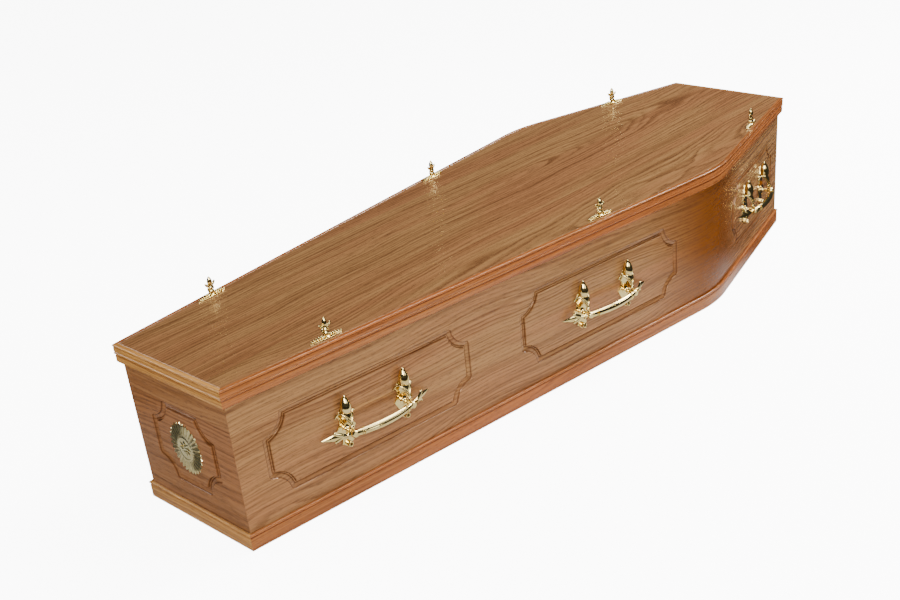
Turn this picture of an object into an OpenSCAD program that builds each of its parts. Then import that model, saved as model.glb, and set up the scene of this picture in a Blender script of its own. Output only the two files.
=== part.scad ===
// Wooden coffin: tapered body with bent shoulders, lift-off lid, brass fittings.
// Millimetres, +Z up. The foot end is at -X and the head end at +X.
// The origin is the centre of the footprint, on the surface that the coffin stands on.

/* [Body] */
// Outside length of the body
body_len = 1938; // [1600:2:2300]
// Outside width of the body at the foot
foot_w = 325; // [280:1:420]
// Outside width of the body across the shoulders, measured at the sharp corners
shoulder_w = 627; // [480:1:780]
// Outside width of the body at the head
head_w = 334; // [280:1:440]
// Distance along the body from the head end to the shoulders
shoulder_from_head = 535; // [440:1:650]
// Height of the coffin, from the floor to the top of the lid
coffin_h = 362; // [310:1:460]
// Thickness of the side and end boards
wall_t = 18; // [12:1:25]
// Thickness of the base board
base_t = 18; // [12:1:25]
// Outside radius that the sides are bent to at the shoulders
shoulder_r = 320; // [120:5:450]
// Gap round the base board
base_gap = 0.3; // [0.1:0.1:1]

/* [Lid] */
// Thickness of the lid board
lid_t = 18; // [12:1:25]
// Gap between the body and the part of the lid moulding that hangs beside it
lid_clearance = 0.5; // [0.3:0.1:1.5]
// Height of the lid moulding
lid_mould_h = 40; // [30:1:60]
// Thickness of the lid moulding
lid_mould_t = 10.5; // [8:0.5:20]
// Glue line between a moulding and the board behind it
glue_gap = 0.2; // [0.1:0.05:0.4]

/* [Plinth] */
// Height of the plinth moulding
plinth_h = 38; // [30:1:60]
// Thickness of the plinth moulding
plinth_t = 7; // [6:0.5:20]

/* [Routed panels] */
// Height of the lower edge of each panel above the floor
panel_z = 84; // [70:1:110]
// Distance from the upper edge of each panel to the lid moulding
panel_top_gap = 55; // [30:1:80]
// Distance from the foot corner to the first flank panel
flank_panel_start = 63; // [40:1:120]
// Distance between the two flank panels
flank_panel_gap = 148; // [60:1:200]
// Distance from the second flank panel to the shoulder corner
flank_panel_end = 150; // [100:1:200]
// Distance from the shoulder corner to the panel near the head
head_side_panel_start = 127; // [100:1:200]
// Distance from that panel to the head corner
head_side_panel_end = 58; // [40:1:100]
// Width of the panel on the foot end and on the head end
end_panel_w = 206; // [160:1:230]
// Radius of the scooped corners
scoop_r = 45; // [25:1:60]
// Width of the routed groove
groove_w = 16; // [8:1:24]
// Width of the shallow shelf on each side of the groove
groove_shelf = 3; // [1:0.5:4]
// Depth of the shelf
shelf_depth = 2; // [1:0.5:4]
// Depth of the groove
groove_depth = 5.5; // [3:0.5:8]

/* [Handles] */
// Height of the bails above the lower edge of the panels
handle_up = 76; // [60:1:100]
// Distance between the two brackets of a handle
bracket_spacing = 148; // [125:1:170]
// Distance from the board to the centre of a knuckle
knuckle_out = 30; // [28:1:45]
// How far the middle of the bail stands out past the knuckles
bow_out = 12; // [8:1:25]
// Radius of the bail
bail_r = 7; // [5:0.5:8]
// Radius of the knuckles
knuckle_r = 8; // [7:0.5:9]
// Thickness of a backplate
backplate_t = 3; // [2:0.5:5]
// Gap between a knuckle and its post
knuckle_gap = 0.3; // [0.2:0.1:0.6]
// Reach of a leaf tip past its knuckle
leaf_len = 67; // [50:1:90]
// Distance from the board to the end of a leaf tip
leaf_out = 4; // [4:1:12]

/* [Lid screws] */
// Distance along the flank from the foot corner to its first lid screw
foot_screw = 246; // [150:1:350]
// Distance along the flank from its second lid screw to the shoulder corner
middle_screw = 403; // [250:1:500]
// Distance from the shoulder corner to the lid screw near the head
head_screw = 312; // [200:1:360]
// Length of a screw plate
screw_plate_len = 76; // [60:1:100]
// Width of a screw plate
screw_plate_w = 13; // [10:1:15]
// Height of a lid screw above the lid
screw_h = 45; // [38:1:60]

/* [End ornaments] */
// Width of an end ornament
ornament_w = 100; // [70:1:110]
// Height of an end ornament
ornament_h = 118; // [80:1:125]
// Number of rays round its edge
rays = 30; // [20:2:40]

/* [Hidden] */
$fn = 64;
SIDES = ["left", "right"];
PLACES = ["foot", "middle", "head"];
ENDS = ["foot", "head"];

oak = [0.66, 0.47, 0.33];
oak_moulding = [0.72, 0.46, 0.28];
oak_end_moulding = [0.78, 0.58, 0.36];
brass = [0.86, 0.78, 0.47];

wall_h = coffin_h - lid_t;
shoulder_from_foot = body_len - shoulder_from_head;
foot_x = -body_len / 2;
head_x = body_len / 2;
// Angles of the flank and of the shoulder-to-head wall away from the long axis
flank_a = atan2((shoulder_w - foot_w) / 2, shoulder_from_foot);
head_side_a = atan2((shoulder_w - head_w) / 2, shoulder_from_head);
flank_out = [-sin(flank_a), -cos(flank_a)];
head_side_out = [sin(head_side_a), -cos(head_side_a)];
// Every plan shape is the body's outline moved outwards by o. These are its corners on the -Y side.
function foot_corner(o) = [foot_x - o, -foot_w / 2 - o * (1 - sin(flank_a)) / cos(flank_a)];
function head_corner(o) = [head_x + o, -head_w / 2 - o * (1 - sin(head_side_a)) / cos(head_side_a)];
function shoulder_corner(o) = [foot_x + shoulder_from_foot, -shoulder_w / 2]
    + o * (flank_out + head_side_out) / (1 + flank_out * head_side_out);
bend_centre = shoulder_corner(-shoulder_r);
function flip(points) = [for (i = [len(points) - 1:-1:0]) [points[i].x, -points[i].y]];
function arc(centre, r, from, to, steps) =
    [for (i = [0:steps]) centre + r * [cos(from + (to - from) * i / steps), sin(from + (to - from) * i / steps)]];

// The -Y side of the coffin, or its mirror image.
module on_side(side) {
    if (side == "left") children();
    else mirror([0, 1, 0]) children();
}
// Frames on the outer faces: X runs along the board, -Y points out, Z is up.
module at_flank() { translate(concat(foot_corner(0), 0)) rotate([0, 0, -flank_a]) children(); }
module at_head_side() { translate(concat(shoulder_corner(0), 0)) rotate([0, 0, head_side_a]) children(); }
module at_end(end) {
    if (end == "foot") translate([foot_x, 0, 0]) rotate([0, 0, -90]) children();
    else translate([head_x, 0, 0]) rotate([0, 0, 90]) children();
}

// The outer edge of the -Y side, moved outwards by o: foot corner, bend, head corner.
bend_steps = 12;
function side_edge(o) = concat([foot_corner(o)],
    arc(bend_centre, shoulder_r + o, 270 - flank_a, 270 + head_side_a, bend_steps), [head_corner(o)]);
// The edge of an end, from its +Y corner to its -Y corner or back, so that it runs on from the side.
function end_edge(end, o) =
    let (corner = end == "foot" ? foot_corner(o) : head_corner(o), s = end == "foot" ? -1 : 1)
    [[corner.x, s * corner.y], [corner.x, -s * corner.y]];
// A moulding: one ring of section points at each corner of the edge, so that its ends are mitred.
module sweep(rings) {
    n = len(rings[0]);
    last = len(rings) - 1;
    walls = [for (i = [0:last - 1], j = [0:n - 1]) let (k = (j + 1) % n)
        [i * n + j, i * n + k, (i + 1) * n + k, (i + 1) * n + j]];
    caps = [[for (j = [n - 1:-1:0]) j], [for (j = [0:n - 1]) last * n + j]];
    polyhedron([for (ring = rings, p = ring) p], concat(walls, caps));
}
module side_run(section) {
    sweep([for (i = [0:bend_steps + 2]) [for (p = section) concat(side_edge(p.x)[i], p.y)]]);
}
module end_run(end, section) {
    sweep([for (i = [0, 1]) [for (p = section) concat(end_edge(end, p.x)[i], p.y)]]);
}
// Boards stand between two moved edges, so that their ends are mitred too.
function backwards(points) = [for (i = [len(points) - 1:-1:0]) points[i]];
module side_wall() {
    linear_extrude(wall_h) polygon(concat(side_edge(0), backwards(side_edge(-wall_t))));
}
module end_wall(end) {
    linear_extrude(wall_h) polygon(concat(end_edge(end, 0), backwards(end_edge(end, -wall_t))));
}
// A board in the shape of the coffin's plan, with rounded shoulders.
module plan_board(o, thickness) {
    linear_extrude(thickness) polygon(concat(side_edge(o), flip(side_edge(o))));
}

// Moulding sections. t is the thickness, gap the glue line behind, and top the height of the upper edge.
function placed(section, gap, top) = [for (p = section) [p.x + gap, p.y + top]];
// Round the lid: a nose, a quirk, a flat, a bead and a set-back lower flat.
function lid_section() =
    let (t = lid_mould_t, h = lid_mould_h, k = h / 40,
         nose = arc([t - 3, -3], 3, 90, -20, 5),
         quirk = [[t - 1.3, -5.8 * k], [t - 0.9, -6.6 * k], [t - 0.9, -16.5 * k]],
         bead = arc([t - 2.6, -19.6 * k], 2.6, 50, -50, 6),
         lower = [[t - 2.4, -23.4 * k], [t - 1.8, -25 * k], [t - 1.7, -37.5 * k], [t - 3, -h], [0, -h]])
    placed(concat([[0, 0]], nose, quirk, bead, lower), lid_clearance, coffin_h);
// Round the foot of the body: a bead over a flat face.
function plinth_section() =
    let (t = plinth_t, h = plinth_h, k = h / 38,
         bead = arc([t - 3, -3], 3, 90, -40, 6),
         face = [[t - 2.2, -7.2 * k], [t - 1.6, -8.6 * k], [t - 1.4, -36 * k], [t - 2.4, -h], [0, -h]])
    placed(concat([[0, 0]], bead, face), glue_gap, plinth_h);

// Routed groove round a panel whose corners are scooped out. A round cutter runs along the middle of
// the groove, so the outer lip is rounded where the inner lip has a sharp corner.
cutter_r = groove_w / 2;
// The corner at [0, 0] of a panel's outline, from its upright edge to its level edge.
function corner_points(inset) =
    let (mid = max(inset, cutter_r), r = scoop_r + mid, spare = asin(mid / r), reach = sqrt(r * r - mid * mid),
         round = cutter_r - inset)
    round <= 0 ? arc([0, 0], r, 90 - spare, spare, 12)
    : concat(arc([mid, reach], round, 180, 270 - spare, 5),
        arc([0, 0], r - round, 90 - spare, spare, 12),
        arc([reach, mid], round, 180 + spare, 270, 5));
module panel_outline(w, inset) {
    c = corner_points(inset);
    polygon(concat(
        c,
        [for (p = backwards(c)) [w - p.x, p.y]],
        [for (p = c) [w - p.x, panel_h - p.y]],
        [for (p = backwards(c)) [p.x, panel_h - p.y]]));
}
module panel_ring(w, inset, depth) {
    translate([0, depth, panel_z]) rotate([90, 0, 0]) linear_extrude(depth + 1)
        difference() {
            panel_outline(w, inset);
            panel_outline(w, groove_w - inset);
        }
}
module panel_groove(w) {
    panel_ring(w, 0, shelf_depth);
    panel_ring(w, groove_shelf, groove_depth);
}
// The panels fill what the margins leave of each wall. Each is [start, length].
flank_len = norm(shoulder_corner(0) - foot_corner(0));
head_side_len = norm(head_corner(0) - shoulder_corner(0));
flank_panel_len = (flank_len - flank_panel_start - flank_panel_gap - flank_panel_end) / 2;
flank_panels = [[flank_panel_start, flank_panel_len],
    [flank_panel_start + flank_panel_len + flank_panel_gap, flank_panel_len]];
head_side_panel = [head_side_panel_start, head_side_len - head_side_panel_start - head_side_panel_end];
panel_h = coffin_h - lid_mould_h - panel_top_gap - panel_z;
handle_z = panel_z + handle_up;
function middle(span) = span[0] + span[1] / 2;

module base_board() {
    color(oak) plan_board(-wall_t - base_gap, base_t);
}
module lid_board() {
    color(oak) translate([0, 0, wall_h]) plan_board(lid_clearance - glue_gap, lid_t);
}
module side_board(side) {
    color(oak) on_side(side) difference() {
        side_wall();
        for (p = flank_panels) at_flank() translate([p[0], 0, 0]) panel_groove(p[1]);
        at_head_side() translate([head_side_panel[0], 0, 0]) panel_groove(head_side_panel[1]);
    }
}
module end_board(end) {
    color(oak) difference() {
        end_wall(end);
        at_end(end) translate([-end_panel_w / 2, 0, 0]) panel_groove(end_panel_w);
    }
}
module side_moulding(side, section) {
    color(oak_moulding) on_side(side) side_run(section);
}
module end_moulding(end, section) {
    color(oak_end_moulding) end_run(end, section);
}

// Where a handle or a lid screw stands on a side.
module at_handle(side, place) {
    on_side(side) {
        if (place == "foot") at_flank() translate([middle(flank_panels[0]), 0, handle_z]) children();
        if (place == "middle") at_flank() translate([middle(flank_panels[1]), 0, handle_z]) children();
        if (place == "head") at_head_side() translate([middle(head_side_panel), 0, handle_z]) children();
    }
}
module at_screw(side, place) {
    on_side(side) {
        if (place == "foot") at_flank() translate([foot_screw, wall_t / 2, coffin_h]) children();
        if (place == "middle") at_flank() translate([flank_len - middle_screw, wall_t / 2, coffin_h]) children();
        if (place == "head") at_head_side() translate([head_screw, wall_t / 2, coffin_h]) children();
    }
}

// Bail: bowed bar, two collars, two knuckles and two leaf tips.
bow_r = (pow(bracket_spacing / 2, 2) + pow(bow_out, 2)) / (2 * bow_out);
bow_a = asin(bracket_spacing / 2 / bow_r);
leaf_a = atan2(knuckle_out - leaf_out, leaf_len);
leaf_t = 6;
// One ring round the bar, at angle a from the middle of the bow.
function bar_ring(a, r) = [for (j = [0:11]) let (q = bow_r + r * cos(30 * j))
    [q * sin(a), -q * cos(a), r * sin(30 * j)]];
module bar() {
    steps = 18;
    end_a = bow_a - 1;
    slimming = 1.5;
    sweep([for (i = [0:steps]) let (a = -end_a + 2 * end_a * i / steps)
        bar_ring(a, bail_r - slimming * pow(a / end_a, 2))]);
}
module leaf_tip() {
    reach = norm([leaf_len, knuckle_out - leaf_out]);
    half = [[0, 5], [0.3 * reach, 4], [0.42 * reach, 13], [0.54 * reach, 7], [reach, 0]];
    translate([0, leaf_t / 2, 0]) rotate([90, 0, 0]) linear_extrude(leaf_t)
        polygon(concat(half, [for (i = [3:-1:0]) [half[i].x, -half[i].y]]));
}
module handle_bail(side, place) {
    collar_w = 3;
    collar_back = 16;
    collar_a = bow_a - collar_back / bow_r * 180 / PI;
    color(brass) at_handle(side, place) {
        translate([0, bow_r - knuckle_out - bow_out, 0]) {
            bar();
            for (a = [-collar_a, collar_a]) rotate([0, 0, a]) translate([-collar_w / 2, -bow_r, 0])
                rotate([0, 90, 0]) cylinder(r = bail_r + 1, h = collar_w);
        }
        for (k = [0, 1]) mirror([k, 0, 0]) translate([bracket_spacing / 2, -knuckle_out, 0]) {
            rotate_extrude() polygon(arc([0, 0], knuckle_r, -90, 90, 12));
            rotate([0, 0, leaf_a]) leaf_tip();
        }
    }
}
// Bracket: pointed backplate, post, bud on a double collar, and a stem that carries the bud.
spire_out = 12.8;
collar_z = 28;
module bud() {
    rotate_extrude() polygon([[0, 0], [5, 1], [6, 3], [11.5, 4], [12.3, 6], [11, 8], [8, 9], [10.5, 10],
        [11.2, 11.5], [10, 13], [6.5, 14.5], [9, 21], [9.6, 27], [8.6, 34], [6, 42], [2.5, 49], [0, 52]]);
}
module handle_bracket(side, place, k) {
    half = [[0, 66], [8, 50], [13, 42], [22, 38], [15, 29], [16, 15], [24, 3], [17, -10], [12, -22],
        [15, -31], [0, -43]];
    post_end = knuckle_out - knuckle_r - knuckle_gap;
    ball_out = knuckle_out - 7;
    ball_z = 12;
    knob_r = 6;
    color(brass) at_handle(side, place)
        mirror([k == "a" ? 0 : 1, 0, 0]) translate([-bracket_spacing / 2, 0, 0]) {
            rotate([90, 0, 0]) linear_extrude(backplate_t)
                polygon(concat(half, [for (i = [len(half) - 2:-1:1]) [-half[i].x, half[i].y]]));
            rotate([90, 0, 0]) cylinder(r = 5, h = post_end);
            translate([0, -spire_out, collar_z]) bud();
            rise = collar_z + 3 - ball_z;
            run = ball_out - spire_out;
            translate([0, -ball_out, ball_z]) {
                sphere(r = 4.5);
                rotate([-atan2(run, rise), 0, 0]) cylinder(r = 3.2, h = norm([run, rise]));
            }
            translate([0, -knob_r - knuckle_gap, -33]) sphere(r = knob_r);
        }
}

// Screw plate: a narrow plate with a ribbed back that tapers to both ends.
screw_plate_t = 2.5;
module screw_plate(side, place) {
    w = screw_plate_w / 2;
    l = screw_plate_len / 2;
    ribs = 4;
    pitch = (l - 8) / ribs;
    color(brass) at_screw(side, place) {
        linear_extrude(screw_plate_t)
            polygon([[-l, 0], [-l + 6, w * 0.7], [-8, w], [8, w], [l - 6, w * 0.7],
                [l, 0], [l - 6, -w * 0.7], [8, -w], [-8, -w], [-l + 6, -w * 0.7]]);
        for (i = [1:ribs], d = [-1, 1]) intersection() {
            translate([d * (4 + i * pitch), 0, screw_plate_t]) sphere(r = 5.2 - 0.6 * i);
            translate([-l, -w, 0]) cube([2 * l, 2 * w, 2 * w]);
        }
    }
}
// Lid screw: a collar on a short shank, with a three-petalled head to turn it by.
module lid_screw(side, place) {
    head_t = 5;
    petal = [[3.5, 0], [4, 5], [11, 7], [13.5, 13], [9, 11], [6, 12], [7, 18], [3, 27], [0, 31]];
    k = (screw_h - 14) / 31;
    color(brass) at_screw(side, place) translate([0, 0, screw_plate_t]) {
        cylinder(r = 3.5, h = 14 - screw_plate_t);
        cylinder(r = 5, h = 2.5);
        translate([0, 0, 6]) cylinder(r = 5.5, h = 3);
        translate([0, head_t / 2, 14 - screw_plate_t]) rotate([90, 0, 0]) linear_extrude(head_t)
            polygon(concat([for (p = petal) [p.x, p.y * k]],
                [for (i = [len(petal) - 2:-1:0]) [-petal[i].x, petal[i].y * k]]));
    }
}

// End ornament: an oval plate with a rayed edge, a raised rim and a rosette.
module oval(w, h, height, steps) {
    linear_extrude(height)
        polygon([for (i = [0:steps - 1]) [w / 2 * cos(360 * i / steps), h / 2 * sin(360 * i / steps)]]);
}
module end_ornament(end) {
    ray_depth = 0.86;
    plate_t = 2.5;
    rim_t = 4;
    color(brass) at_end(end) translate([0, 0, panel_z + panel_h / 2]) rotate([90, 0, 0]) {
        linear_extrude(plate_t)
            polygon([for (i = [0:2 * rays - 1]) let (s = i % 2 == 0 ? 0.5 : 0.5 * ray_depth, a = 180 * i / rays)
                [ornament_w * s * cos(a), ornament_h * s * sin(a)]]);
        difference() {
            oval(ornament_w * 0.72, ornament_h * 0.72, rim_t, 48);
            translate([0, 0, plate_t]) oval(ornament_w * 0.62, ornament_h * 0.62, rim_t, 48);
        }
        cylinder(r = 9, h = 5);
        for (i = [0:5]) rotate([0, 0, 60 * i]) translate([14, 0, 0]) cylinder(r = 6, h = 4);
    }
}

base_board();
lid_board();
for (s = SIDES) {
    side_board(s);
    side_moulding(s, plinth_section());
    side_moulding(s, lid_section());
    for (p = PLACES) {
        handle_bail(s, p);
        handle_bracket(s, p, "a");
        handle_bracket(s, p, "b");
        screw_plate(s, p);
        lid_screw(s, p);
    }
}
for (e = ENDS) {
    end_board(e);
    end_moulding(e, plinth_section());
    end_moulding(e, lid_section());
    end_ornament(e);
}
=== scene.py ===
# %% [markdown]
# # Oak coffin with brass fittings
# The CAD model fixes every size. Here each board, moulding and fitting gets the shape and the finish
# that a maker would give it: veneer that runs along the boards, routed panels, and polished brass.

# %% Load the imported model
import math

import bmesh
import bpy
import numpy as np
from mathutils import Matrix, Vector
from mathutils.geometry import tessellate_polygon


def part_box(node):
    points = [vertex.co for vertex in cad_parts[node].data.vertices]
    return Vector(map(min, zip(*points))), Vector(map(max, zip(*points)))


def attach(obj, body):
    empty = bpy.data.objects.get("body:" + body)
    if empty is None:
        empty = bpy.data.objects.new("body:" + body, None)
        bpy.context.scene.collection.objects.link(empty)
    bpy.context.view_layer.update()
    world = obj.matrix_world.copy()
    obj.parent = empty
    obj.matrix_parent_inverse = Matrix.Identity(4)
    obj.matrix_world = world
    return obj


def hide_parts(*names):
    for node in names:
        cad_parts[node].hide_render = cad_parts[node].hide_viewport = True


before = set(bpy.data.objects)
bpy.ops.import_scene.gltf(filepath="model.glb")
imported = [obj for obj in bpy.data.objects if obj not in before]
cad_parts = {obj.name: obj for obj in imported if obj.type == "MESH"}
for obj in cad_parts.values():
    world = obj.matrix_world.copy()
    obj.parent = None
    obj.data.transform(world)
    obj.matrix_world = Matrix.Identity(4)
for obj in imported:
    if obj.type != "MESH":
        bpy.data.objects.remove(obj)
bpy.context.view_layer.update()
print("CAD nodes:", len(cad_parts))

# %% [markdown]
# ## Sizes
# Most places come from the boxes of the CAD nodes. The few that a box can't give, such as the corner
# that a bent side is drawn from, repeat the part's own sizes, in metres. Small castings are easier to
# think of in millimetres, so two helpers turn those into metres.

# %% Sizes of the coffin
MM = 0.001
left_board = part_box("side_board_left")
lid_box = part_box("lid_board")
FOOT_X, HEAD_X = left_board[0].x, left_board[1].x
WALL_H = left_board[1].z
TOP_Z = lid_box[1].z
FOOT_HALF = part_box("end_board_foot")[1].y
HEAD_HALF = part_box("end_board_head")[1].y
SHOULDER_X, SHOULDER_HALF = HEAD_X - 0.535, 0.3135
BEND_R = 0.320
WALL_T = 0.018
LID_SIDE_GAP, GLUE_GAP = 0.0005, 0.0002
# A hair thinner than the solid, whose facets on the bend lie elsewhere, to stay inside its box
LID_MOULD_T, LID_MOULD_H = 0.01047, 0.040
PLINTH_T, PLINTH_H = 0.007, 0.038
PANEL_Z, PANEL_TOP = 0.084, 0.267
PANEL_START, PANEL_GAP, PANEL_END = 0.063, 0.148, 0.150
HEAD_PANEL_START, HEAD_PANEL_END = 0.127, 0.058
END_PANEL_W, SCOOP_R, CUTTER_R = 0.206, 0.045, 0.008
HANDLE_Z, SPACING, KNUCKLE_OUT, BOW_OUT = 0.160, 0.148, 0.030, 0.012
# Along the flank from the foot, or back from the shoulder where negative, or on from the shoulder
SCREW_S = {"foot": 0.246, "middle": -0.403, "head": 0.312}
SIDES = ("left", "right")
PLACES = ("foot", "middle", "head")
ENDS = ("foot", "head")
print("walls %.0f mm high, lid top at %.0f mm" % (WALL_H / MM, TOP_Z / MM))


# %% Millimetres
def in_mm(*values):
    """Lengths given in millimetres, in metres."""
    return [v * MM for v in values]


def points_mm(points):
    """Points given in millimetres, in metres."""
    return [tuple(v * MM for v in point) for point in points]


def moved(x, y, z):
    """A move by millimetres."""
    return Matrix.Translation(in_mm(x, y, z))


def turned(degrees, axis):
    return Matrix.Rotation(math.radians(degrees), 4, axis)


# %% [markdown]
# ## Outline of the body
# Seen from above, a side is two straights that meet at the shoulder, where the board is bent round a
# former. Every board and moulding is drawn from this one line, moved outwards or inwards, so that they
# all meet. Only the -Y side is drawn, and the +Y side is its mirror image.

# %% Corners of the outline
FLANK_A = math.atan2(SHOULDER_HALF - FOOT_HALF, SHOULDER_X - FOOT_X)
HEAD_A = math.atan2(SHOULDER_HALF - HEAD_HALF, HEAD_X - SHOULDER_X)
FLANK_OUT = Vector((-math.sin(FLANK_A), -math.cos(FLANK_A)))
HEAD_OUT = Vector((math.sin(HEAD_A), -math.cos(HEAD_A)))


def foot_corner(o):
    """The -Y corner at the foot of the body's outline, moved outwards by o."""
    return Vector((FOOT_X - o, -FOOT_HALF - o * (1 - math.sin(FLANK_A)) / math.cos(FLANK_A)))


def head_corner(o):
    return Vector((HEAD_X + o, -HEAD_HALF - o * (1 - math.sin(HEAD_A)) / math.cos(HEAD_A)))


def shoulder_corner(o):
    reach = (FLANK_OUT + HEAD_OUT) / (1 + FLANK_OUT.dot(HEAD_OUT))
    return Vector((SHOULDER_X, -SHOULDER_HALF)) + o * reach


FLANK_LEN = (shoulder_corner(0) - foot_corner(0)).length
HEAD_LEN = (head_corner(0) - shoulder_corner(0)).length
print("flank %.3f m, shoulder to head %.3f m" % (FLANK_LEN, HEAD_LEN))

# %% Bend and panels along the outline
BEND_CENTRE = shoulder_corner(-BEND_R)
BEND_TURN = FLANK_A + HEAD_A
BEND_LEN = BEND_R * BEND_TURN
# Length of each straight that the bend takes away
BEND_CUT = BEND_R * math.tan(BEND_TURN / 2)
BEND_STEPS = 24
FLANK_PANEL = (FLANK_LEN - PANEL_START - PANEL_GAP - PANEL_END) / 2
FLANK_PANELS = [(PANEL_START, FLANK_PANEL), (PANEL_START + FLANK_PANEL + PANEL_GAP, FLANK_PANEL)]
HEAD_PANEL = (HEAD_PANEL_START, HEAD_LEN - HEAD_PANEL_START - HEAD_PANEL_END)


def rail(o):
    """Points of the -Y edge moved outwards by o, from foot to head, with the length run along the body."""
    points = [(foot_corner(o), 0.0)]
    start = FLANK_LEN - BEND_CUT
    for i in range(BEND_STEPS + 1):
        a = -FLANK_A + BEND_TURN * i / BEND_STEPS
        out = Vector((math.sin(a), -math.cos(a)))
        points.append((BEND_CENTRE + (BEND_R + o) * out, start + BEND_LEN * i / BEND_STEPS))
    points.append((head_corner(o), points[-1][1] + HEAD_LEN - BEND_CUT))
    return points


print("panels on a flank: %.0f mm long, at the head: %.0f mm" % (FLANK_PANEL / MM, HEAD_PANEL[1] / MM))


# %% Frames on the walls
def wall_frame(origin, angle):
    """A frame on an outer face: X along the board, Y out of it, Z up."""
    x = Vector((math.cos(angle), math.sin(angle), 0))
    y = Vector((math.sin(angle), -math.cos(angle), 0))
    return Matrix(((x.x, y.x, 0, origin[0]), (x.y, y.y, 0, origin[1]), (0, 0, 1, 0), (0, 0, 0, 1)))


FLANK = wall_frame(foot_corner(0), -FLANK_A)
HEAD_SIDE = wall_frame(shoulder_corner(0), HEAD_A)
FOOT_END = wall_frame((FOOT_X, 0), -math.pi / 2)
HEAD_END = wall_frame((HEAD_X, 0), math.pi / 2)
WALLS = {
    "foot": (FLANK, FLANK_PANELS[0]),
    "middle": (FLANK, FLANK_PANELS[1]),
    "head": (HEAD_SIDE, HEAD_PANEL),
}
KEPT, MIRROR = Matrix.Identity(4), Matrix.Diagonal((1, -1, 1, 1))
ON_SIDE = {"left": KEPT, "right": MIRROR}
print("wall frames: flank, shoulder to head, foot end, head end")

# %% [markdown]
# ## Shapes
# A board is sawn and veneered, and a fitting is cast or turned. Both are built here as plain points and
# faces, because their sections are known exactly, and modifiers would only blur them.
# Every board carries its own grain coordinates: metres along the grain, metres across it, and depth.
# Veneer then follows a board round its bend, as a real sheet does.
# A second value, "recess", is 1 in the bottom of grooves, where stain and lacquer gather, and it also
# paints shade there.


# %% Points and faces of one piece
class Shape:
    """Points, faces, grain coordinates and recess of one piece."""

    def __init__(self):
        self.points, self.faces, self.grain, self.recess = [], [], [], []

    def add(self, point, grain=(0, 0, 0), recess=0.0):
        self.points.append(Vector(point))
        self.grain.append(tuple(grain))
        self.recess.append(recess)
        return len(self.points) - 1

    def strip(self, a, b, closed=False):
        """Faces between two rows of point numbers."""
        n = len(a)
        for i in range(n if closed else n - 1):
            j = (i + 1) % n
            self.faces.append((a[i], a[j], b[j], b[i]))

    def rings(self, rows):
        """Faces between closed rows. A row of one point is a tip."""
        for a, b in zip(rows, rows[1:]):
            if len(a) == 1:
                self.faces += [(a[0], b[(i + 1) % len(b)], b[i]) for i in range(len(b))]
            elif len(b) == 1:
                self.faces += [(a[i], a[(i + 1) % len(a)], b[0]) for i in range(len(a))]
            else:
                self.strip(a, b, closed=True)

    def join(self, other, matrix=KEPT):
        shift = len(self.points)
        turn = matrix.to_3x3().determinant() < 0
        self.points += [matrix @ p for p in other.points]
        self.grain += other.grain
        self.recess += other.recess
        for face in other.faces:
            face = tuple(i + shift for i in face)
            self.faces.append(face[::-1] if turn else face)
        return self


# %% From a shape to a finished piece
WELD = 1e-6


def piece(name, shape, material, slot, *nodes, matrix=KEPT, smooth=35):
    """Makes one object of a shape, puts it in place, and lets it stand for its CAD nodes."""
    placed = Shape().join(shape, matrix)
    mesh = bpy.data.meshes.new(name)
    mesh.from_pydata([tuple(p) for p in placed.points], [], placed.faces)
    grain = mesh.attributes.new("grain", "FLOAT_VECTOR", "POINT")
    grain.data.foreach_set("vector", np.array(placed.grain, np.float32).ravel())
    recess = mesh.attributes.new("recess", "FLOAT", "POINT")
    recess.data.foreach_set("value", np.array(placed.recess, np.float32))
    work = bmesh.new()
    work.from_mesh(mesh)
    bmesh.ops.remove_doubles(work, verts=work.verts, dist=WELD)
    bmesh.ops.recalc_face_normals(work, faces=work.faces)
    work.to_mesh(mesh)
    work.free()
    mesh.shade_smooth()
    mesh.set_sharp_from_angle(angle=math.radians(smooth))
    mesh.materials.append(material)
    obj = bpy.data.objects.new(name, mesh)
    bpy.context.scene.collection.objects.link(obj)
    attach(obj, "root")
    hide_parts(*nodes)
    return obj


# %% [markdown]
# ## Turning and sweeping
# Knobs, beads and shanks are turned on a lathe: a profile goes round an axis. Bars and petals are a
# section that follows a curve and changes along it. The curve goes through given points
# (Catmull-Rom), because it's easy to say where a casting passes.


# %% Turning and sweeping
def lathe(profile, steps=32):
    """A turned shape round Z from (radius, height) in millimetres. A radius of 0 closes an end."""
    shape = Shape()
    rows = []
    for r, z in points_mm(profile):
        if r == 0:
            rows.append([shape.add((0, 0, z))])
        else:
            turns = [2 * math.pi * i / steps for i in range(steps)]
            rows.append([shape.add((r * math.cos(t), r * math.sin(t), z)) for t in turns])
    shape.rings(rows)
    return shape


def sweep(path, section, up=Vector((0, 0, 1))):
    """A bar along a path. section(i) gives ring i as (sideways, upwards) points, or one point for a tip."""
    shape = Shape()
    rows = []
    for i, p in enumerate(path):
        ahead = (path[min(i + 1, len(path) - 1)] - path[max(i - 1, 0)]).normalized()
        side = ahead.cross(up).normalized()
        rise = side.cross(ahead)
        rows.append([shape.add(p + x * side + y * rise) for x, y in section(i)])
    shape.rings(rows)
    for row in (rows[0], rows[-1]):
        if len(row) > 1:
            shape.faces.append(tuple(row))
    return shape


# %% Arcs and curves
def arc(cx, cy, r, start, end, n):
    """n + 1 points on an arc. The angles are in degrees."""
    angles = [math.radians(start + (end - start) * i / n) for i in range(n + 1)]
    return [(cx + r * math.cos(a), cy + r * math.sin(a)) for a in angles]


def circle(r, n=16):
    return [(r * math.cos(2 * math.pi * i / n), r * math.sin(2 * math.pi * i / n)) for i in range(n)]


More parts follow.
